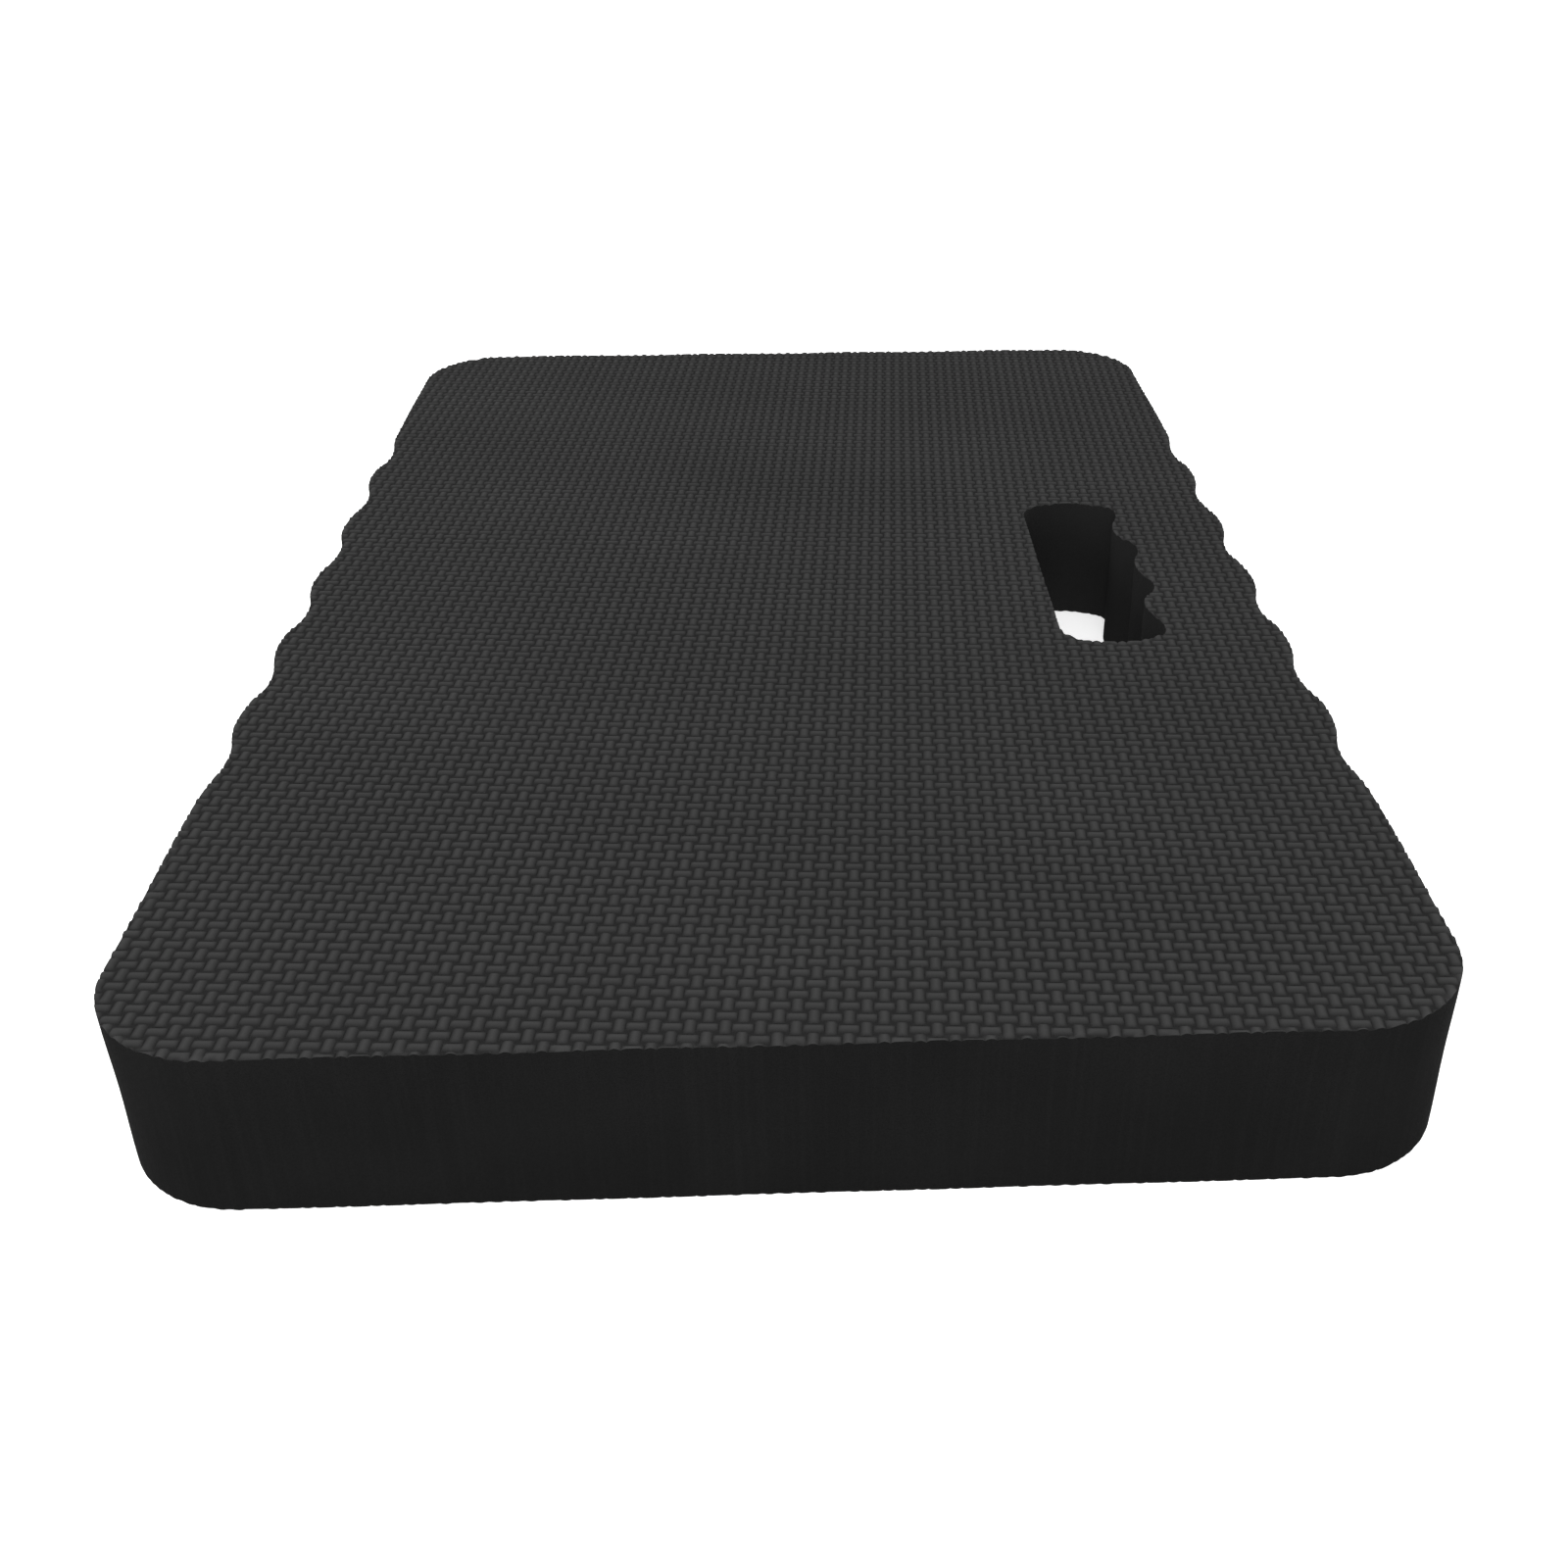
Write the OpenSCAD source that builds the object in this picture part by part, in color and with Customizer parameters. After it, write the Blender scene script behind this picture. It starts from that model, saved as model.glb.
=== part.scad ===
// Thick foam kneeling pad: an embossed sheet bonded to each face of a plain foam core,
// die-cut in one stroke to a round-cornered outline with scalloped long sides and a
// four-finger hand slot.
// Origin: centre of the underside. +Z is up, +Y runs along the pad, +X points to the slot.

/* [Pad] */
// Length of the pad, along Y
pad_l = 430; // [380:5:520]
// Width of the pad over the straight ends of its long sides, along X
pad_w = 280; // [240:5:340]
// Thickness of the pad over both embossed faces
pad_t = 40; // [25:1:50]
// Radius of the four corners
corner_r = 28; // [15:1:40]
// Thickness of each embossed sheet, with its pattern
sheet_t = 3; // [2:0.5:5]

/* [Scalloped sides] */
// Hollows along each long side
hollow_count = 6; // [1:1:6]
// Distance from one hollow to the next
hollow_pitch = 41.6; // [30:0.2:44]
// Depth of a hollow below the crests beside it
hollow_depth = 3; // [1.5:0.25:6]
// How far the crests between two hollows stand out from the side's straight ends
crest_out = 0.8; // [0:0.1:1]
// Share of each wave that its crest takes
crest_share = 0.6; // [0.4:0.05:0.7]
// Place of the two rows along Y, from the pad's middle to halfway between their middles
row_y = -4; // [-8:0.5:8]
// How much nearer the front the +X side's row lies than the other one
row_stagger = 8.5; // [0:0.5:10]

/* [Hand slot] */
// Length of the slot, along Y
slot_l = 100; // [90:1:120]
// Width of the slot at its two end finger pockets
slot_w = 30; // [27:0.5:36]
// Distance from the slot's straight side to the pad's nearer long side
slot_inset = 62; // [60:0.5:75]
// Place of the slot's middle along Y, from the pad's middle
slot_y = 1; // [-20:0.5:20]
// Straight run from an end finger pocket to the slot's corner
pocket_run = 2; // [0.5:0.5:6]
// Height of the ridges between the finger pockets
ridge_h = 3; // [1:0.2:4]
// How far the two middle pockets and the ridge between them bow outwards
grip_bow = 2.2; // [0:0.1:4]
// Share of each finger wave that its ridge takes
ridge_share = 0.6; // [0.4:0.05:0.7]
// Radius of the slot's two ends
slot_end_r = 23; // [20:0.5:26]
// Radius of the two corners beside the end finger pockets
grip_corner_r = 4; // [2:0.5:6]
// Radius of the two corners at the ends of the slot's straight side
inner_corner_r = 9; // [2:0.5:12]

/* [Hidden] */
// Straight steps in each arc of a wave
wave_steps = 4;
// Straight steps in the quarter turn of a pad corner
corner_steps = 12;
// Straight steps in each corner of the slot
slot_steps = 6;
// Half waves from the slot's middle ridge to an end pocket
finger_halves = 3;
// Two points closer than this are one point
same_point = 0.001;
core_t = pad_t - 2 * sheet_t;
side_x = pad_w / 2;
slot_x = side_x - slot_inset;
// From the slot's middle to the middle of an end's arc
slot_end_y = slot_l / 2 - slot_end_r;
// Distance from one finger pocket to the next
finger_pitch = 2 * (corner_y(grip_corner_r) - pocket_run) / finger_halves;
skin_colour = [0.21, 0.21, 0.215];
foam_colour = [0.115, 0.115, 0.12];

// The points of an arc about c, from angle a0 to angle a1
function arc(c, r, a0, a1, steps) = [
    for (i = [0 : steps])
        let (a = a0 + (a1 - a0) * i / steps)
        c + r * [cos(a), sin(a)]
];

// An S curve from p to q made of two tangent arcs, which starts and ends along Y.
// share is the first arc's part of its length. q itself is left to the next curve.
function s_curve(p, q, share) =
    let (
        run = q.y - p.y,
        turn = 2 * atan((q.x - p.x) / run),
        total_r = run / sin(turn),
        first_r = share * total_r,
        last_r = total_r - first_r
    )
    concat(
        [for (i = [0 : wave_steps - 1])
            let (a = turn * i / wave_steps)
            p + first_r * [1 - cos(a), sin(a)]],
        [for (i = [wave_steps : -1 : 1])
            let (a = turn * i / wave_steps)
            q - last_r * [1 - cos(a), sin(a)]]
    );

// A wave through its turning points, where share is the part that those with an even index take
function wave(turns, share) = concat(
    [for (k = [0 : len(turns) - 2])
        each s_curve(turns[k], turns[k + 1], k % 2 == 0 ? share : 1 - share)],
    [turns[len(turns) - 1]]
);

// Where a corner of radius r blends a slot end's arc into the slot's side, as an angle of that arc
function blend_a(r) = acos((slot_w / 2 - r) / (slot_end_r - r));
// From the slot's middle to the middle of that corner's arc
function corner_y(r) = slot_end_y + (slot_end_r - r) * sin(blend_a(r));

// Points mirrored in the Y axis or in the X axis, in the reverse order
function mirror_x(points) = [for (i = [len(points) - 1 : -1 : 0]) [-points[i].x, points[i].y]];
function mirror_y(points) = [for (i = [len(points) - 1 : -1 : 0]) [points[i].x, -points[i].y]];

// Turning points of a long side's wave: its straight ends, the hollows, and the crests between.
// The side is the one at +X, and middle_y is where its row has its middle.
function side_turns(middle_y) =
    let (
        last = 2 * hollow_count,
        crest_x = side_x + crest_out,
        hollow_x = crest_x - hollow_depth
    )
    [for (k = [0 : last]) [
        k % 2 == 1 ? hollow_x : (k == 0 || k == last ? side_x : crest_x),
        middle_y + (k - hollow_count) * hollow_pitch / 2
    ]];

// The half of the pad's outline at +X, from the front edge to the back edge
function side_points(middle_y) =
    let (
        turn_x = side_x - corner_r,
        turn_y = pad_l / 2 - corner_r
    )
    concat(
        arc([turn_x, -turn_y], corner_r, -90, 0, corner_steps),
        wave(side_turns(middle_y), crest_share),
        arc([turn_x, turn_y], corner_r, 0, 90, corner_steps)
    );

// Turning points of the finger grip, from the slot's middle ridge to an end pocket
function finger_turns() = [
    for (k = [0 : finger_halves]) [
        slot_w - (k % 2 == 0 ? ridge_h : 0) + (k <= 1 ? grip_bow : 0),
        k * finger_pitch / 2
    ]
];

// The +Y half of the slot, from its middle ridge round to its straight side,
// with X measured from the straight side and Y from the slot's middle
function slot_half() =
    let (
        near_a = blend_a(grip_corner_r),
        far_a = 180 - blend_a(inner_corner_r),
        grip_corner = [slot_w - grip_corner_r, corner_y(grip_corner_r)],
        inner_corner = [inner_corner_r, corner_y(inner_corner_r)]
    )
    concat(
        wave(finger_turns(), ridge_share),
        arc(grip_corner, grip_corner_r, 0, near_a, slot_steps),
        arc([slot_w / 2, slot_end_y], slot_end_r, near_a, far_a, 2 * slot_steps),
        arc(inner_corner, inner_corner_r, far_a, 180, slot_steps)
    );

// The points of a closed outline, each given once
function no_repeats(points) = [
    for (i = [0 : len(points) - 1])
        let (next = points[(i + 1) % len(points)])
        if (norm(next - points[i]) > same_point) points[i]
];

module pad_outline() {
    right = side_points(row_y - row_stagger / 2);
    left = side_points(row_y + row_stagger / 2);
    polygon(no_repeats(concat(right, mirror_x(left))));
}

module slot_outline() {
    half = slot_half();
    translate([slot_x, slot_y])
        polygon(no_repeats(concat(half, mirror_y(half))));
}

// A die-cut layer of the pad, from height z up
module layer(z, thickness) {
    translate([0, 0, z])
        linear_extrude(height = thickness)
            difference() {
                pad_outline();
                slot_outline();
            }
}

// Embossed sheet that is knelt on
module top_sheet() {
    color(skin_colour)
        layer(pad_t - sheet_t, sheet_t);
}

// Thick plain foam between the two sheets
module core() {
    color(foam_colour)
        layer(sheet_t, core_t);
}

// Embossed sheet that lies on the ground
module bottom_sheet() {
    color(skin_colour)
        layer(0, sheet_t);
}

top_sheet();
core();
bottom_sheet();
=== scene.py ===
"""Foam kneeling pad: two embossed face sheets bonded to a plain foam core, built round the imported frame.

Each face sheet is one embossed slab, die-cut to the outline that the CAD core has. The core's walls
follow the same outline, with the slight waviness of a cut foam edge.
"""
import math

import bpy
import numpy as np
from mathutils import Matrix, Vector, geometry, kdtree


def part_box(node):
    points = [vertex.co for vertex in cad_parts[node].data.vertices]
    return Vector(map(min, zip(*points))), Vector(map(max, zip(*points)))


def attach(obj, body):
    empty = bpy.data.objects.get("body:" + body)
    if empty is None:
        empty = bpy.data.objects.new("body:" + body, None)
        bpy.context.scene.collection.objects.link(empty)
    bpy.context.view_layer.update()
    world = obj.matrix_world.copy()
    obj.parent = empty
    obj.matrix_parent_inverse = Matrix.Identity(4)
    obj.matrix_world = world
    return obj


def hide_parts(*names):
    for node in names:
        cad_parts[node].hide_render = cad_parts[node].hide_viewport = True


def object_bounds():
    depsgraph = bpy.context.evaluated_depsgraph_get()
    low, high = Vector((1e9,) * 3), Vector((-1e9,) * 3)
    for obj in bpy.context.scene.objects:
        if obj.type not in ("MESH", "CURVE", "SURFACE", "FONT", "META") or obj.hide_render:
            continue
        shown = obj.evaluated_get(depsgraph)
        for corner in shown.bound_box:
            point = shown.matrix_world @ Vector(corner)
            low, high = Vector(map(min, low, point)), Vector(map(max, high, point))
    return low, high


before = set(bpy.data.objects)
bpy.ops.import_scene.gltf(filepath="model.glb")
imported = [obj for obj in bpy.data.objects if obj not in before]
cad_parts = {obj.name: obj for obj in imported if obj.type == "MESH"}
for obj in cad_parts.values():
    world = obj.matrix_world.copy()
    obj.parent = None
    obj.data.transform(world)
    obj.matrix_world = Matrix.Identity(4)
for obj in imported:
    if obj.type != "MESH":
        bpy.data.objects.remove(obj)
cad_box = [list(corner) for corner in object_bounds()]

MM = 0.001
SEED = 7
rng = np.random.default_rng(SEED)

# ---------------------------------------------------------------- sizes

PAD_LOW, PAD_HIGH = Vector(cad_box[0]), Vector(cad_box[1])
MIDDLE_Z = (PAD_LOW.z + PAD_HIGH.z) / 2

# How the CAD outline is read
TOP_WITHIN = 0.01 * MM  # a face this near the top is the top face
PLACE_DIGITS = 7  # decimals of a metre to which two points agree if they are one

# The basket weave, which is pressed into both faces
WEAVE_PITCH = 3.46 * MM  # from one bar to the next, along and across
WEAVE_TURN = math.radians(-3.4)  # of the weave on its sheet
WEAVE_DEPTH = 0.6 * MM  # from the grooves up to the bars' crowns
UNDERSIDE_DEPTH = 0.3 * MM  # the same on the face that lies on the ground
WEAVE_MARGIN = 16 * MM  # how far the sheet reaches past the outline before it is cut
HOLLOW_DIP = 0.06 * MM  # how far the middle of a groove's square hollow lies below its rim
BAR_HEIGHT_LOSS = 0.10  # the most that a bar may be lower than the crown height, as a share
BAR_WANDER = 0.03 * MM  # how far bars stray from their places
SWELL = 0.06 * MM  # slow unevenness of the whole face
SWELL_WAVES = 5  # how many waves it is made of
SWELL_LENGTH = (60, 160)  # the shortest and the longest of them, in mm

# Half of a bar's outline in mm, as the corner at its end and the corner along its side
BAR_FOOT = ((2.08, 0.8), (1.5, 1.3))
BAR_SHOULDER = ((1.76, 0.4), (1.3, 0.62))
FOOT_RISE = (0.3, 0)  # height of the end corners and of the side corners, as shares of the depth
SHOULDER_RISE = (0.66, 0.7)  # the same for the shoulder
RIDGE_HALF = 1.2 * MM  # half the length of the crown

# The cut walls
OUTLINE_STEP = 1.3 * MM  # spacing of the points along the outline
STRAIGHT_OVER = 6 * MM  # an outline segment longer than this is a straight side
CUTTER_REACH = 16 * MM  # how far the cutter stands out above and below a sheet
UPRIGHT = 0.1  # a face whose normal rises less than this is a wall
CUT_HOLLOW = 0.15 * MM  # how far the core's wall draws in at mid height
CUT_WAVE = 0.07 * MM  # waviness that the blade leaves
# The waves in it: how many go round the outline, how each turns up the wall, its phase, its share
WALL_WAVES = ((23, 1.5, 0, 0.4), (57, -2.5, 1, 0.35), (101, 4, 2, 0.25))
# Rings of points up the core's walls, as shares of its height
CORE_LEVELS = (0, 0.012, 0.04, 0.1, 0.2, 0.3, 0.4, 0.5, 0.6, 0.7, 0.8, 0.9, 0.96, 0.988, 1)
RIM_WIDTH = 2.5 * MM  # how far wear, and the painted light on the hand slot's walls, reach in from a cut edge

# The camera
CAMERA_AT = Vector((2.6, -464.7, 255.1)) * MM
CAMERA_PITCH = 0.5364  # radians below the horizon
CAMERA_YAW = 0.0403  # radians to the right of +Y
CAMERA_SENSOR = 36  # mm wide
CAMERA_LENS = 38.65  # mm
CAMERA_SHIFT = (-0.045, -0.0244)
CAMERA_NEAR = 0.01  # metres to the nearest thing that it sees

# The floor and the lights, in metres
FLOOR_SIZE = 14.0
FLOOR_GLOW = 0.5  # the floor is a white light table, which keeps shadows faint
# Each soft light's place, its size, and the brightness of its cloth
SOFT_LIGHTS = {
    "key": ((0.0, -0.8, 0.8), 0.8, 3.3),
    "left": ((-1.0, -0.3, 0.9), 0.9, 3.2),
    "right": ((1.1, 0.5, 0.4), 0.7, 6.0),
    "back": ((-0.6, 1.2, 0.4), 0.7, 3.0),
}
WORLD_RADIANCE = 1.0

# ---------------------------------------------------------------- looks

# Brightness, from 0 to 1
# Painted light and shade: the skin's crowns are painted paler and its grooves darker, as light falls on
# the weave
SKIN_SHADED_GROOVE, SKIN_LIT_CROWN = 0.0105, 0.0312
SKIN_GRAIN = SKIN_LIT_CROWN * 1.15  # the palest grains
SKIN_SCUFF = 0.04
FOAM_DARK, FOAM_PALE = 0.0062, 0.0074  # the two ends of the cut foam's uneven black
FOAM_STROKE = 0.0105  # where the blade left a mark
FOAM_PORE = 0.0043
# Painted light: a paler black for the hand slot's walls, to lift the shade inside the slot
FOAM_SLOT_LIGHT = 0.02
FLOOR_DARK, FLOOR_PALE = 0.86, 0.88

# The most of each that is laid over what lies under it
CLOUD_SHARE, GRAIN_SHARE, SCUFF_SHARE = 0.12, 0.2, 0.5
# The last share on the next line is painted light on the hand slot's walls
STROKE_SHARE, PORE_SHARE, SLOT_LIGHT_SHARE = 0.2, 0.4, 0.5

# Sizes of the lumps, grains and cells
SKIN_CLOUD, SKIN_SPECK, SKIN_DIMPLE = 45 * MM, 0.22 * MM, 0.55 * MM
SCUFF_SIZE = 3 * MM
FOAM_CLOUD, FOAM_SPECK, FOAM_CELL = 30 * MM, 0.3 * MM, 0.5 * MM
FLOOR_CLOUD = 0.4  # metres
STROKES_PER_METRE = (900, 900, 14)  # close together round the wall, and long down it

# The range of a noise, or of the distance from a cell's middle, over which each comes in or goes out
CLOUD_RANGE = (0.3, 0.7)
GRAIN_RANGE = (0.4, 0.75)
SCUFF_RANGE = (0.48, 0.62)
STROKE_RANGE = (0.45, 0.7)
PORE_RANGE = (0.1, 0.6)
ALL_CROWN = 0.05  # share of the weave's depth, at its top, that has the crown's full painted light

# Gloss
GROOVE_ROUGHNESS, CROWN_ROUGHNESS = 0.85, 0.7
CLOUD_ROUGHNESS = 0.04  # how much rougher or smoother the skin's clouds are
SCUFF_ROUGHNESS = 0.15  # how much rougher a scuff is
FOAM_ROUGHNESS = (0.9, 1.0)
FLOOR_ROUGHNESS = 0.9
SKIN_SPECULAR, FOAM_SPECULAR, FLOOR_SPECULAR = 0.06, 0.04, 0.1
FOAM_IOR = 1.2  # low, because foam has little sheen at a grazing angle

# ---------------------------------------------------------------- camera


def make_camera():
    data = bpy.data.cameras.new("camera")
    data.sensor_width = CAMERA_SENSOR
    data.lens = CAMERA_LENS
    data.shift_x, data.shift_y = CAMERA_SHIFT
    data.clip_start = CAMERA_NEAR
    camera = bpy.data.objects.new("camera", data)
    camera.location = CAMERA_AT
    camera.rotation_euler = (math.pi / 2 - CAMERA_PITCH, 0, -CAMERA_YAW)
    bpy.context.scene.collection.objects.link(camera)
    bpy.context.scene.camera = camera


# ---------------------------------------------------------------- mesh helpers


def add_object(name, data):
    ob = bpy.data.objects.new(name, data)
    bpy.context.scene.collection.objects.link(ob)
    return ob


def mesh_from(name, points, faces):
    """A mesh of faces with any number of corners."""
    mesh = bpy.data.meshes.new(name)
    mesh.from_pydata([tuple(p) for p in points], [], [tuple(f) for f in faces])
    mesh.update()
    return mesh


def mesh_from_triangles(name, points, triangles):
    """The same for a large mesh, given as arrays."""
    mesh = bpy.data.meshes.new(name)
    mesh.vertices.add(len(points))
    mesh.vertices.foreach_set("co", points.astype(np.float32).ravel())
    mesh.loops.add(triangles.size)
    mesh.loops.foreach_set("vertex_index", triangles.astype(np.int32).ravel())
    mesh.polygons.add(len(triangles))
    mesh.polygons.foreach_set("loop_start", np.arange(0, triangles.size, 3, dtype=np.int32))
    mesh.update(calc_edges=True)
    return mesh


def read(items, field, width, kind=np.float32):
    """One field of a mesh's points, faces or loops, as an array."""
    values = np.zeros(len(items) * width, kind)
    items.foreach_get(field, values)
    return values.reshape(-1, width) if width > 1 else values


def boundary_loops(triangles):
    """Closed loops of point numbers round the open edges, each with the surface on its left."""
    size = triangles.max() + 1
    edges = np.concatenate([triangles[:, (0, 1)], triangles[:, (1, 2)], triangles[:, (2, 0)]])
    open_edges = edges[~np.isin(edges @ (size, 1), edges @ (1, size))]
    follow = dict(open_edges.tolist())
    loops = []
    while follow:
        loop = [min(follow)]
        while loop[-1] in follow:
            loop.append(follow.pop(loop[-1]))
        loops.append(loop[:-1])
    return loops


def fill(loops):
    """Triangles over a flat outline and its holes, facing up, numbered along the loops."""
    flat = [[Vector((x, y, 0)) for x, y in loop] for loop in loops]
    triangles = np.array(geometry.tessellate_polygon(flat))
    a, b, c = (np.concatenate(loops)[triangles[:, k]] for k in range(3))
    area = (b - a)[:, 0] * (c - a)[:, 1] - (b - a)[:, 1] * (c - a)[:, 0]
    triangles[area < 0] = triangles[area < 0][:, ::-1]
    return triangles[area != 0]


# ---------------------------------------------------------------- the outline


def cad_outline(node):
    """Loops of x, y round a CAD node's top face: the outer one, then the slot's."""
    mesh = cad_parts[node].data
    corners = read(mesh.vertices, "co", 3).astype(float)
    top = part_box(node)[1].z - TOP_WITHIN
    flat = [list(face.vertices) for face in mesh.polygons if corners[list(face.vertices), 2].min() > top]
    places, number = np.unique(np.round(corners[:, :2], PLACE_DIGITS), axis=0, return_inverse=True)
    loops = [places[loop] for loop in boundary_loops(number.ravel()[np.array(flat)])]
    return sorted(loops, key=lambda loop: -np.ptp(loop[:, 1]))


def smooth_loop(loop):
    """The loop as a smooth curve through its points. Its long segments stay straight."""
    ahead = np.roll(loop, -1, axis=0) - loop
    length = np.linalg.norm(ahead, axis=1)[:, None]
    unit = ahead / length
    unit_before, length_before = np.roll(unit, 1, axis=0), np.roll(length, 1, axis=0)
    tangent = unit * length_before + unit_before * length
    tangent = np.where(length > STRAIGHT_OVER, unit, tangent)
    tangent = np.where(length_before > STRAIGHT_OVER, unit_before, tangent)
    tangent /= np.linalg.norm(tangent, axis=1)[:, None]
    tangent_ahead = np.roll(tangent, -1, axis=0)
    points = []
    for k, distance in enumerate(length[:, 0]):
        s = np.linspace(0, 1, math.ceil(distance / OUTLINE_STEP), endpoint=False)[:, None]
        rise = s * s * (3 - 2 * s)
        out = s * (1 - s) ** 2 * distance * tangent[k]
        back = s * s * (1 - s) * distance * tangent_ahead[k]
        points.append(loop[k] + rise * ahead[k] + out - back)
    return np.concatenate(points)


def outward(loop):
    """Unit directions away from the foam, which lies on the loop's left."""
    along = np.roll(loop, -1, axis=0) - np.roll(loop, 1, axis=0)
    along /= np.linalg.norm(along, axis=1)[:, None]
    return along[:, ::-1] * (1, -1)


# ---------------------------------------------------------------- the embossed sheets

# A bar's points are numbered round its foot, then round its shoulder, then along its ridge.
# The last point is the middle of the hollow beyond its upper right corner.
SHOULDER, RIDGE, HOLLOW, BAR_POINTS = 8, 16, 18, 19

# Faces between the bars, as (column, row, point) steps from the lower left bar.
# The first list of each pair is for a bar along X there, and the second for one along Y.
HOLLOW_RIM = (
    (
        (0, 0, 1), (0, 0, 0), (1, 0, 1), (1, 0, 0),
        (1, 1, 5), (1, 1, 4), (0, 1, 5), (0, 1, 4),
        (0, 0, HOLLOW),
    ),
    (
        (0, 0, 6), (1, 0, 3), (1, 0, 2), (1, 1, 3),
        (1, 1, 2), (0, 1, 7), (0, 1, 6), (0, 0, 7),
        (0, 0, HOLLOW),
    ),
)
RIM_POINTS = 8  # round a hollow, before its middle
GAP_RIGHT = (
    ((0, 0, 7), (1, 0, 2), (1, 0, 1), (0, 0, 0)),
    ((0, 0, 5), (1, 0, 4), (1, 0, 3), (0, 0, 6)),
)
GAP_ABOVE = (
    ((0, 0, 2), (0, 0, 1), (0, 1, 4), (0, 1, 3)),
    ((0, 0, 0), (0, 0, 7), (0, 1, 6), (0, 1, 5)),
)


def bar_ring(half, rise, depth):
    """Eight points round a bar along X, counter-clockwise from its +X end."""
    (end_x, end_y), (side_x, side_y) = half
    end_z, side_z = rise[0] * depth, rise[1] * depth
    upper = [
        (end_x, end_y, end_z),
        (side_x, side_y, side_z),
        (-side_x, side_y, side_z),
        (-end_x, end_y, end_z),
    ]
    return [(x * MM, y * MM, z) for x, y, z in upper] + [(-x * MM, -y * MM, z) for x, y, z in upper]


def bar_points(depth):
    foot = bar_ring(BAR_FOOT, FOOT_RISE, depth)
    shoulder = bar_ring(BAR_SHOULDER, SHOULDER_RISE, depth)
    ridge = [(RIDGE_HALF, 0, depth), (-RIDGE_HALF, 0, depth)]
    return np.array(foot + shoulder + ridge)


def bar_triangles():
    """A bar's wall, and the crown over its shoulder."""
    east, west = RIDGE, RIDGE + 1
    faces = [(east, SHOULDER + 2, west), (west, SHOULDER + 6, east)]
    for k, peak in enumerate((east, east, west, west, west, west, east, east)):
        n = (k + 1) % SHOULDER
        faces += [(k, n, SHOULDER + n), (k, SHOULDER + n, SHOULDER + k)]
        faces += [(SHOULDER + k, SHOULDER + n, peak)]
    return np.array(faces)


def between_bars(first, turned, pattern):
    """Point numbers of the faces that a pattern makes at every place in the grid."""
    columns = first.shape[0] - max(step[0] for step in pattern[0])
    rows = first.shape[1] - max(step[1] for step in pattern[0])
    faces = []
    for parity, steps in enumerate(pattern):
        here = turned[:columns, :rows] == parity
        corners = [first[a : a + columns, b : b + rows][here] + point for a, b, point in steps]
        faces.append(np.stack(corners, axis=-1))
    return np.concatenate(faces)


def weave(columns, rows, depth):
    """Points and triangles of an embossed surface about the origin, with its grooves at z = 0."""
    i, j = np.meshgrid(np.arange(columns), np.arange(rows), indexing="ij")
    turned = (i + j) % 2
    along_x = bar_points(depth)
    along_y = along_x[:, (1, 0, 2)] * (-1, 1, 1)
    points = np.zeros((columns, rows, BAR_POINTS, 3))
    points[:, :, :HOLLOW] = np.where(turned[:, :, None, None] == 1, along_y, along_x)
    points[:, :, :HOLLOW, 2] *= 1 - BAR_HEIGHT_LOSS * rng.random((columns, rows, 1))
    points[:, :, :HOLLOW, :2] += BAR_WANDER * rng.uniform(-1, 1, (columns, rows, 1, 2))
    points[:, :, HOLLOW] = (WEAVE_PITCH / 2, WEAVE_PITCH / 2, -HOLLOW_DIP)
    places = np.stack([i - (columns - 1) / 2, j - (rows - 1) / 2], axis=-1) * WEAVE_PITCH
    points[..., :2] += places[:, :, None]

    first = (i * rows + j) * BAR_POINTS
    bars = (first.reshape(-1, 1, 1) + bar_triangles()).reshape(-1, 3)
    rims = between_bars(first, turned, HOLLOW_RIM)
    fans = [rims[:, (k, (k + 1) % RIM_POINTS, RIM_POINTS)] for k in range(RIM_POINTS)]
    gaps = np.concatenate([between_bars(first, turned, gap) for gap in (GAP_RIGHT, GAP_ABOVE)])
    triangles = np.concatenate([bars, *fans, gaps[:, (0, 1, 2)], gaps[:, (0, 2, 3)]])
    used, numbers = np.unique(triangles, return_inverse=True)
    return points.reshape(-1, 3)[used], numbers.reshape(-1, 3)


def closed_below(points, triangles, bottom):
    """The surface made into a solid, with a skirt down to a flat bottom."""
    (rim,) = boundary_loops(triangles)
    count = len(rim)
    lower = len(points) + np.arange(count)
    under = points[rim] * (1, 1, 0) + (0, 0, bottom)
    here, ahead = np.array(rim), np.roll(rim, -1)
    skirt = [np.stack([ahead, here, lower], -1), np.stack([ahead, lower, np.roll(lower, -1)], -1)]
    floor = lower[fill([under[:, :2]])][:, ::-1]
    return np.concatenate([points, under]), np.concatenate([triangles, *skirt, floor])


def swell(x, y):
    """Slow unevenness of a face, from 0 to -1, out of a few long waves."""
    total = np.zeros_like(x)
    for _ in range(SWELL_WAVES):
        heading, phase = rng.uniform(0, 2 * math.pi, 2)
        length = rng.uniform(*SWELL_LENGTH) * MM
        total += np.sin((x * math.cos(heading) + y * math.sin(heading)) * 2 * math.pi / length + phase)
    return total / (2 * SWELL_WAVES) - 0.5


def prism(name, loop, low, high):
    """A solid over a counter-clockwise loop."""
    count = len(loop)
    points = [(x, y, z) for z in (low, high) for x, y in loop]
    walls = [(k, (k + 1) % count, (k + 1) % count + count, k + count) for k in range(count)]
    caps = [tuple(range(count))[::-1], tuple(range(count, 2 * count))]
    return add_object(name, mesh_from(name, points, walls + caps))


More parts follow.
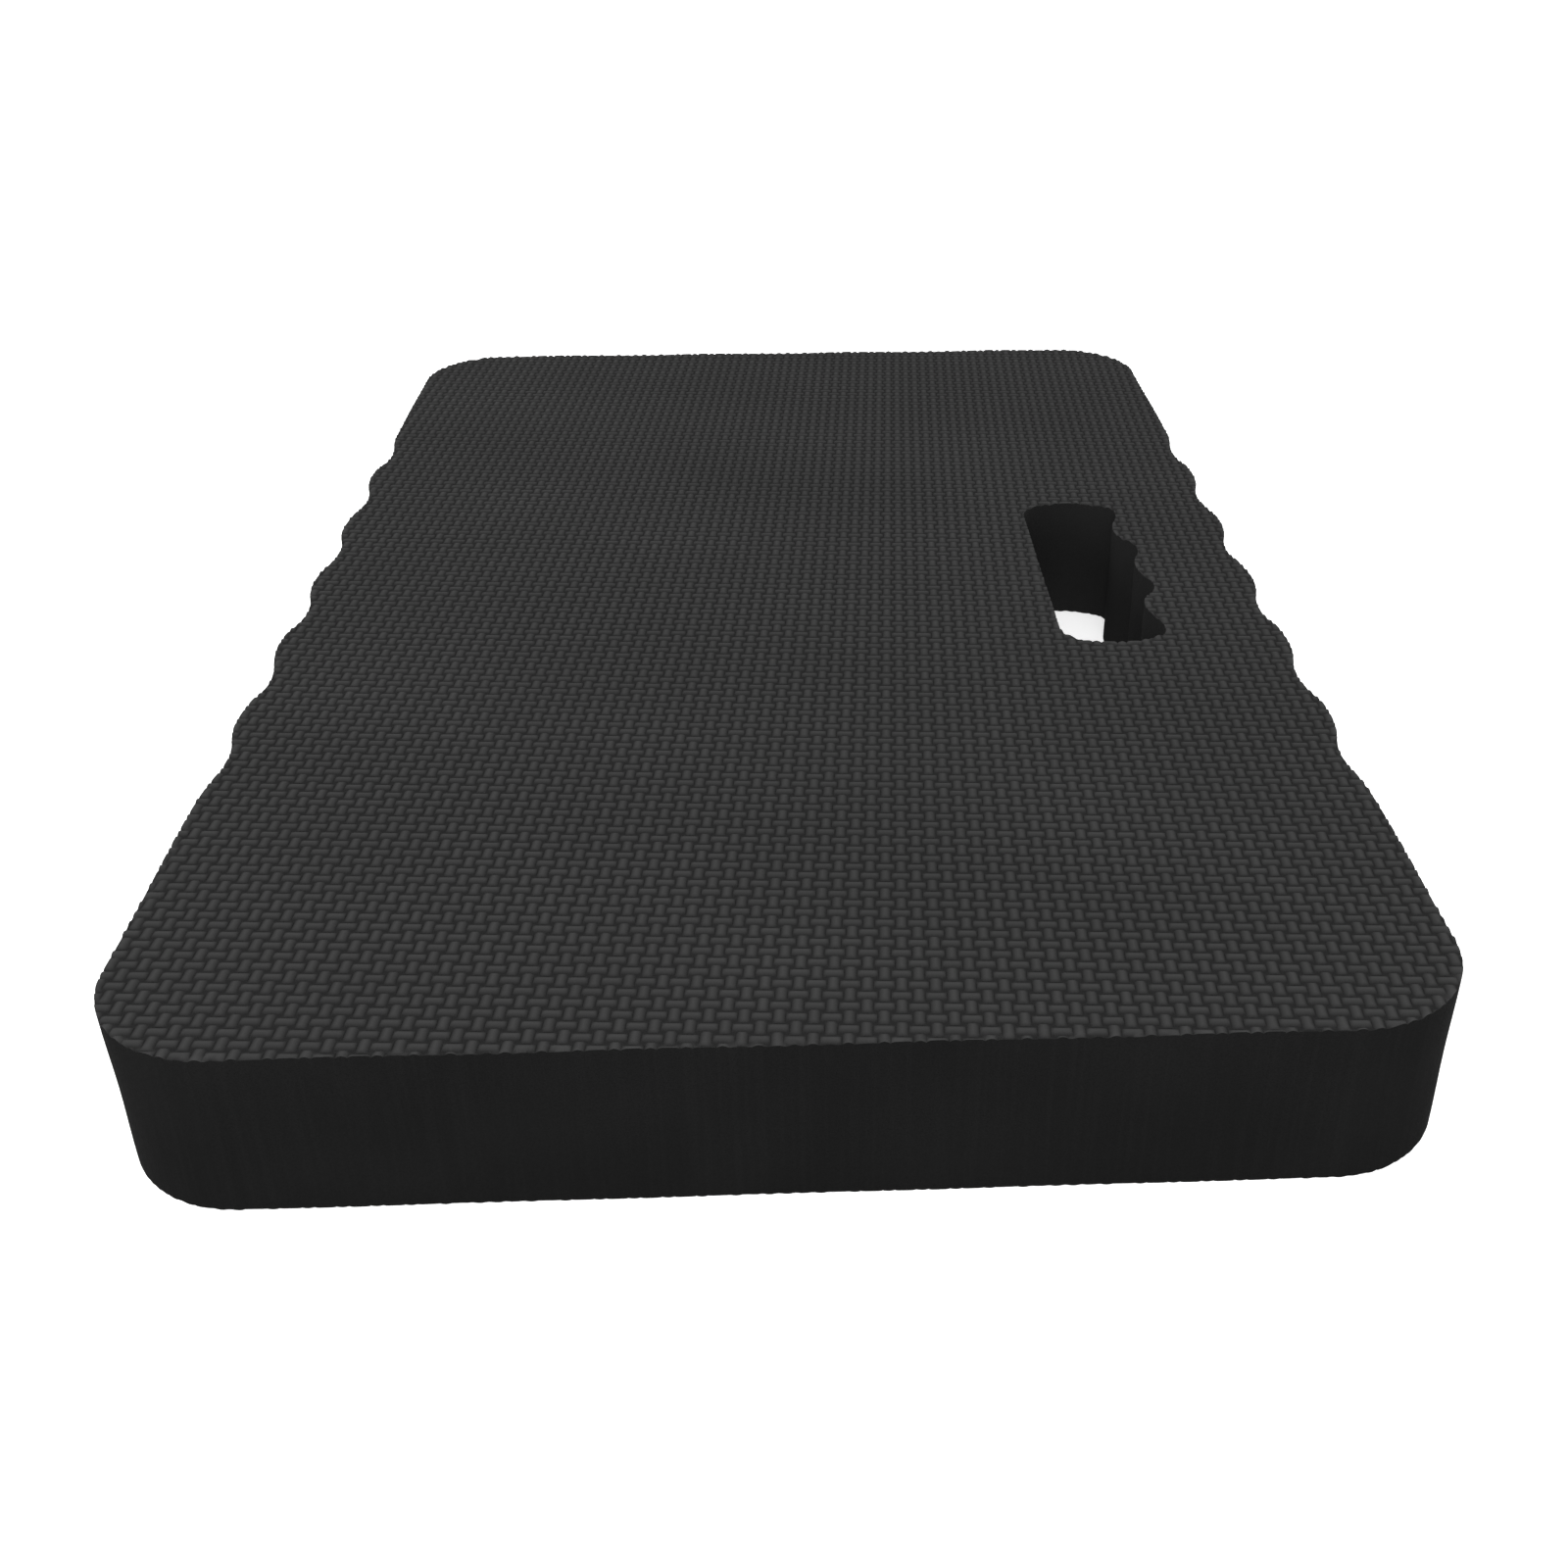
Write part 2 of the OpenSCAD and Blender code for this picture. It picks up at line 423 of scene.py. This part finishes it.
def cut(piece, cutter, operation):
    """Cuts the piece with a solid, which is then removed."""
    modifier = piece.modifiers.new(operation, "BOOLEAN")
    modifier.object = cutter
    modifier.operation = operation
    modifier.solver = "MANIFOLD"
    depsgraph = bpy.context.evaluated_depsgraph_get()
    mesh = bpy.data.meshes.new_from_object(piece.evaluated_get(depsgraph))
    piece.modifiers.clear()
    piece.data = mesh
    bpy.data.objects.remove(cutter)


def shade_smooth(mesh, walls):
    """Smooth shading, with a sharp edge wherever a wall meets a face that isn't one."""
    mesh.polygons.foreach_set("use_smooth", np.ones(len(walls), bool))
    face_of_loop = np.repeat(np.arange(len(walls)), read(mesh.polygons, "loop_total", 1, np.int32))
    edge_of_loop = read(mesh.loops, "edge_index", 1, np.int32)
    walls_at_edge = np.bincount(edge_of_loop, walls[face_of_loop], len(mesh.edges))
    sharp = mesh.attributes.new("sharp_edge", "BOOLEAN", "EDGE")
    sharp.data.foreach_set("value", walls_at_edge == 1)


def dress_sheet(mesh, skin, cut_foam):
    """Gives the sheet's two faces the skin, and its walls the cut foam."""
    mesh.materials.clear()
    mesh.materials.append(skin)
    mesh.materials.append(cut_foam)
    upright = np.abs(read(mesh.polygons, "normal", 3)[:, 2]) < UPRIGHT
    mesh.polygons.foreach_set("material_index", upright.astype(np.int32))
    shade_smooth(mesh, upright)


def mark_wear_and_slot_light(mesh, loops):
    """Says at each point how near a cut edge is, as rim, for wear, and how near the hand slot's edge is,
    for painted light on the slot's walls.
    """
    tree = kdtree.KDTree(sum(len(loop) for loop in loops))
    for loop, slot_light in zip(loops, (0, 1)):
        for x, y in loop:
            tree.insert((x, y, 0), slot_light)
    tree.balance()
    found = [tree.find((x, y, 0)) for x, y, _ in read(mesh.vertices, "co", 3)]
    away = np.array([distance for _, _, distance in found], np.float32)
    near = np.clip(1 - away / RIM_WIDTH, 0, 1)
    slot_light = near * np.array([number for _, number, _ in found], np.float32)
    for name, values in (("rim", near), ("slot_light", slot_light)):
        mesh.attributes.new(name, "FLOAT", "POINT").data.foreach_set("value", values)


def make_sheet(name, node, loops, face_up, skin, cut_foam):
    """An embossed sheet where the CAD has it, with its weave up or down."""
    low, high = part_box(node)
    depth = WEAVE_DEPTH if face_up else UNDERSIDE_DEPTH
    size = (high - low) + Vector((1, 1, 0)) * 2 * WEAVE_MARGIN
    points, triangles = weave(math.ceil(size.x / WEAVE_PITCH), math.ceil(size.y / WEAVE_PITCH), depth)
    points[:, 2] += SWELL * swell(points[:, 0], points[:, 1])
    points, triangles = closed_below(points, triangles, depth - (high.z - low.z))
    points[:, 2] -= depth
    cos, sin = math.cos(WEAVE_TURN), math.sin(WEAVE_TURN)
    points[:, :2] = points[:, :2] @ np.array(((cos, sin), (-sin, cos)))
    if face_up:
        points[:, 2] += high.z
    else:
        points *= (-1, 1, -1)
        points[:, 2] += low.z
    sheet = add_object(name, mesh_from_triangles(name, points, triangles))
    outer, slot = loops
    below, above = low.z - CUTTER_REACH, high.z + CUTTER_REACH
    cut(sheet, prism("outline", outer, below, above), "INTERSECT")
    cut(sheet, prism("slot", slot[::-1], below, above), "DIFFERENCE")
    dress_sheet(sheet.data, skin, cut_foam)
    mark_wear_and_slot_light(sheet.data, loops)
    return sheet


# ---------------------------------------------------------------- the core


def wall_wave(loop, share):
    """Waviness of a cut wall along the loop, at a share of its height, from -1 to 1."""
    steps = np.linalg.norm(np.roll(loop, -1, axis=0) - loop, axis=1)
    turn = 2 * math.pi * np.cumsum(steps) / steps.sum()
    return sum(
        np.sin(count * turn + twist * share + phase) * part
        for count, twist, phase, part in WALL_WAVES
    )


def make_core(name, node, loops, cut_foam):
    """The plain foam between the sheets, whose walls draw in slightly at mid height."""
    low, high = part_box(node)
    points, faces, ends = [], [], []
    for loop in loops:
        first, count = len(points), len(loop)
        away = outward(loop)
        for share in CORE_LEVELS:
            middle = math.sin(math.pi * share) ** 2
            inset = middle * (CUT_HOLLOW + CUT_WAVE * (wall_wave(loop, share) + 1))
            z = low.z + share * (high.z - low.z)
            points += [(x, y, z) for x, y in loop - away * np.reshape(inset, (-1, 1))]
        for level in range(len(CORE_LEVELS) - 1):
            start = first + level * count
            for k in range(count):
                n = (k + 1) % count
                faces.append((start + k, start + n, start + n + count, start + k + count))
        ends.append((first, first + (len(CORE_LEVELS) - 1) * count, count))
    walls = len(faces)
    flat = fill(loops)
    for level in (0, 1):
        numbers = np.concatenate([np.arange(end[2]) + end[level] for end in ends])
        faces += numbers[flat if level else flat[:, ::-1]].tolist()
    mesh = mesh_from(name, points, faces)
    shade_smooth(mesh, np.arange(len(faces)) < walls)
    mesh.materials.append(cut_foam)
    mark_wear_and_slot_light(mesh, loops)
    return add_object(name, mesh)


# ---------------------------------------------------------------- materials


class Nodes:
    """Short ways to add shader nodes to one material."""

    def __init__(self, name):
        self.material = bpy.data.materials.new(name)
        self.material.use_nodes = True
        self.tree = self.material.node_tree
        self.tree.nodes.clear()
        self.shader = self.add("ShaderNodeBsdfPrincipled")
        output = self.add("ShaderNodeOutputMaterial")
        self.link(self.shader.outputs["BSDF"], output.inputs["Surface"])
        self.place = self.add("ShaderNodeTexCoord").outputs["Object"]

    def add(self, kind, **settings):
        node = self.tree.nodes.new(kind)
        for field, value in settings.items():
            setattr(node, field, value)
        return node

    def link(self, source, target):
        self.tree.links.new(source, target)

    def put(self, value, socket):
        """Sets a socket to a number, or links it to another socket."""
        if isinstance(value, bpy.types.NodeSocket):
            self.link(value, socket)
        else:
            socket.default_value = value

    def math(self, operation, *values):
        node = self.add("ShaderNodeMath", operation=operation)
        for value, socket in zip(values, node.inputs):
            self.put(value, socket)
        return node.outputs[0]

    def spread(self, value, from_low, from_high, to_low, to_high):
        """The value carried from one range to another, and held inside it."""
        node = self.add("ShaderNodeMapRange")
        for given, socket in zip((value, from_low, from_high, to_low, to_high), node.inputs):
            self.put(given, socket)
        return node.outputs[0]

    def stretched(self, scale):
        """The place on the object, scaled along each axis."""
        node = self.add("ShaderNodeMapping", vector_type="POINT")
        self.link(self.place, node.inputs["Vector"])
        node.inputs["Scale"].default_value = scale
        return node.outputs[0]

    def noise(self, size, detail, where=None):
        """Noise from about 0 to 1, with lumps of that size in metres."""
        node = self.add("ShaderNodeTexNoise")
        self.link(where or self.place, node.inputs["Vector"])
        node.inputs["Scale"].default_value = 1 / size
        node.inputs["Detail"].default_value = detail
        return node.outputs["Fac"]

    def cells(self, size):
        """Distance from the middle of the nearest foam cell, in cell sizes."""
        node = self.add("ShaderNodeTexVoronoi")
        self.link(self.place, node.inputs["Vector"])
        node.inputs["Scale"].default_value = 1 / size
        return node.outputs["Distance"]

    def blend(self, share, low, high):
        """A colour between two, or between a colour and a socket."""
        node = self.add("ShaderNodeMix", data_type="RGBA")
        self.put(share, node.inputs["Factor"])
        self.put(low, node.inputs["A"])
        self.put(high, node.inputs["B"])
        return node.outputs["Result"]

    def bump(self, height, distance, strength, below=None):
        """Normals tilted by a height, on top of another bump's."""
        node = self.add("ShaderNodeBump")
        self.link(height, node.inputs["Height"])
        node.inputs["Distance"].default_value = distance
        node.inputs["Strength"].default_value = strength
        if below:
            self.link(below, node.inputs["Normal"])
        return node.outputs["Normal"]


def grey(level):
    return (level, level, level, 1)


def make_skin():
    """Satin skin of the pressed faces: painted paler on the crowns and darker in the grooves as painted
    light and shade, fine-grained, and scuffed at the cut rim.
    """
    n = Nodes("satin_skin")
    axes = n.add("ShaderNodeSeparateXYZ")
    n.link(n.place, axes.inputs[0])
    above = n.math("ABSOLUTE", n.math("SUBTRACT", axes.outputs["Z"], MIDDLE_Z))
    crown = PAD_HIGH.z - MIDDLE_Z
    height = n.spread(above, crown - WEAVE_DEPTH, crown - ALL_CROWN * WEAVE_DEPTH, 0, 1)

    cloud = n.noise(SKIN_CLOUD, detail=3)
    grain = n.noise(SKIN_SPECK, detail=3)
    rim = n.add("ShaderNodeAttribute", attribute_name="rim").outputs["Fac"]
    scuff = n.math("MULTIPLY", rim, n.spread(n.noise(SCUFF_SIZE, detail=4), *SCUFF_RANGE, 0, 1))

    # Painted light and shade: paler on the crowns, darker down in the grooves
    painted_relief_light = n.blend(height, grey(SKIN_SHADED_GROOVE), grey(SKIN_LIT_CROWN))
    clouded = n.blend(n.spread(cloud, *CLOUD_RANGE, 0, CLOUD_SHARE), painted_relief_light, grey(SKIN_SHADED_GROOVE))
    mottled = n.blend(n.spread(grain, *GRAIN_RANGE, 0, GRAIN_SHARE), clouded, grey(SKIN_GRAIN))
    scuffed = n.blend(n.math("MULTIPLY", scuff, SCUFF_SHARE), mottled, grey(SKIN_SCUFF))
    n.link(scuffed, n.shader.inputs["Base Color"])

    satin = n.spread(height, 0, 1, GROOVE_ROUGHNESS, CROWN_ROUGHNESS)
    uneven = n.math("ADD", satin, n.spread(cloud, *CLOUD_RANGE, -CLOUD_ROUGHNESS, CLOUD_ROUGHNESS))
    roughness = n.math("ADD", uneven, n.math("MULTIPLY", scuff, SCUFF_ROUGHNESS))
    n.link(roughness, n.shader.inputs["Roughness"])
    n.shader.inputs["Specular IOR Level"].default_value = SKIN_SPECULAR
    n.shader.inputs["IOR"].default_value = FOAM_IOR
    dimples = n.bump(n.cells(SKIN_DIMPLE), distance=0.03 * MM, strength=0.3)
    n.link(n.bump(grain, distance=0.04 * MM, strength=0.5, below=dimples), n.shader.inputs["Normal"])
    return n.material


def make_cut_foam():
    """Matt cut foam: open cells, faint marks down the wall where the blade went, uneven black, and painted
    light that makes the hand slot's walls paler.
    """
    n = Nodes("open_cut_foam")
    cloud = n.noise(FOAM_CLOUD, detail=3)
    fine = n.noise(FOAM_SPECK, detail=3)
    strokes = n.noise(1.0, detail=3, where=n.stretched(STROKES_PER_METRE))
    cells = n.cells(FOAM_CELL)
    slot_light = n.add("ShaderNodeAttribute", attribute_name="slot_light").outputs["Fac"]

    deep = n.blend(n.spread(cloud, *CLOUD_RANGE, 0, 1), grey(FOAM_DARK), grey(FOAM_PALE))
    marked = n.blend(n.spread(strokes, *STROKE_RANGE, 0, STROKE_SHARE), deep, grey(FOAM_STROKE))
    porous = n.blend(n.spread(cells, *PORE_RANGE, PORE_SHARE, 0), marked, grey(FOAM_PORE))
    # Painted light: the hand slot's walls are made paler, to lift the shade inside the slot
    slot_lit = n.blend(n.math("MULTIPLY", slot_light, SLOT_LIGHT_SHARE), porous, grey(FOAM_SLOT_LIGHT))
    n.link(slot_lit, n.shader.inputs["Base Color"])
    n.link(n.spread(fine, *CLOUD_RANGE, *FOAM_ROUGHNESS), n.shader.inputs["Roughness"])
    n.shader.inputs["Specular IOR Level"].default_value = FOAM_SPECULAR
    n.shader.inputs["IOR"].default_value = FOAM_IOR
    pores = n.bump(cells, distance=0.12 * MM, strength=0.5)
    grain = n.bump(fine, distance=0.06 * MM, strength=0.5, below=pores)
    n.link(n.bump(strokes, distance=0.04 * MM, strength=0.3, below=grain), n.shader.inputs["Normal"])
    return n.material


def make_floor_paint():
    """Plain white, faintly uneven, with a glow of its own."""
    n = Nodes("floor_paint")
    tone = n.spread(n.noise(FLOOR_CLOUD, detail=2), *CLOUD_RANGE, 0, 1)
    n.link(n.blend(tone, grey(FLOOR_DARK), grey(FLOOR_PALE)), n.shader.inputs["Base Color"])
    n.shader.inputs["Roughness"].default_value = FLOOR_ROUGHNESS
    n.shader.inputs["Specular IOR Level"].default_value = FLOOR_SPECULAR
    n.shader.inputs["Emission Color"].default_value = grey(1)
    n.shader.inputs["Emission Strength"].default_value = FLOOR_GLOW
    return n.material


# ---------------------------------------------------------------- floor and light


def make_floor(paint):
    half = FLOOR_SIZE / 2
    corners = [(x * half, y * half, PAD_LOW.z) for x, y in ((-1, -1), (1, -1), (1, 1), (-1, 1))]
    floor = add_object("floor", mesh_from("floor", corners, [(0, 1, 2, 3)]))
    floor.data.materials.append(paint)


def soft_light(name, place, size, radiance):
    """A square soft box that faces the pad. Its radiance is the brightness of its cloth."""
    data = bpy.data.lights.new(name, "AREA")
    data.size = size
    data.energy = radiance * math.pi * size**2
    light = add_object(name, data)
    light.location = place
    light.rotation_euler = Vector(place).to_track_quat("Z", "Y").to_euler()


def make_light():
    """The soft lights, in a plain white studio."""
    world = bpy.data.worlds.new("studio")
    world.use_nodes = True
    world.node_tree.nodes["Background"].inputs["Color"].default_value = grey(1)
    world.node_tree.nodes["Background"].inputs["Strength"].default_value = WORLD_RADIANCE
    bpy.context.scene.world = world
    for name, (place, size, radiance) in SOFT_LIGHTS.items():
        soft_light(name, place, size, radiance)


# ---------------------------------------------------------------- the scene


def declare(piece, node):
    """Puts a piece under the CAD body root, and hides the CAD node that it stands for."""
    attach(piece, "root")
    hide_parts(node)


bpy.context.scene.view_settings.view_transform = "Standard"
make_camera()
make_light()
make_floor(make_floor_paint())

skin, cut_foam = make_skin(), make_cut_foam()
outline = [smooth_loop(loop) for loop in cad_outline("core")]
top_sheet = make_sheet("top_sheet_embossed", "top_sheet", outline, True, skin, cut_foam)
core = make_core("core_foam", "core", outline, cut_foam)
bottom_sheet = make_sheet("bottom_sheet_embossed", "bottom_sheet", outline, False, skin, cut_foam)

declare(top_sheet, "top_sheet")
declare(core, "core")
declare(bottom_sheet, "bottom_sheet")
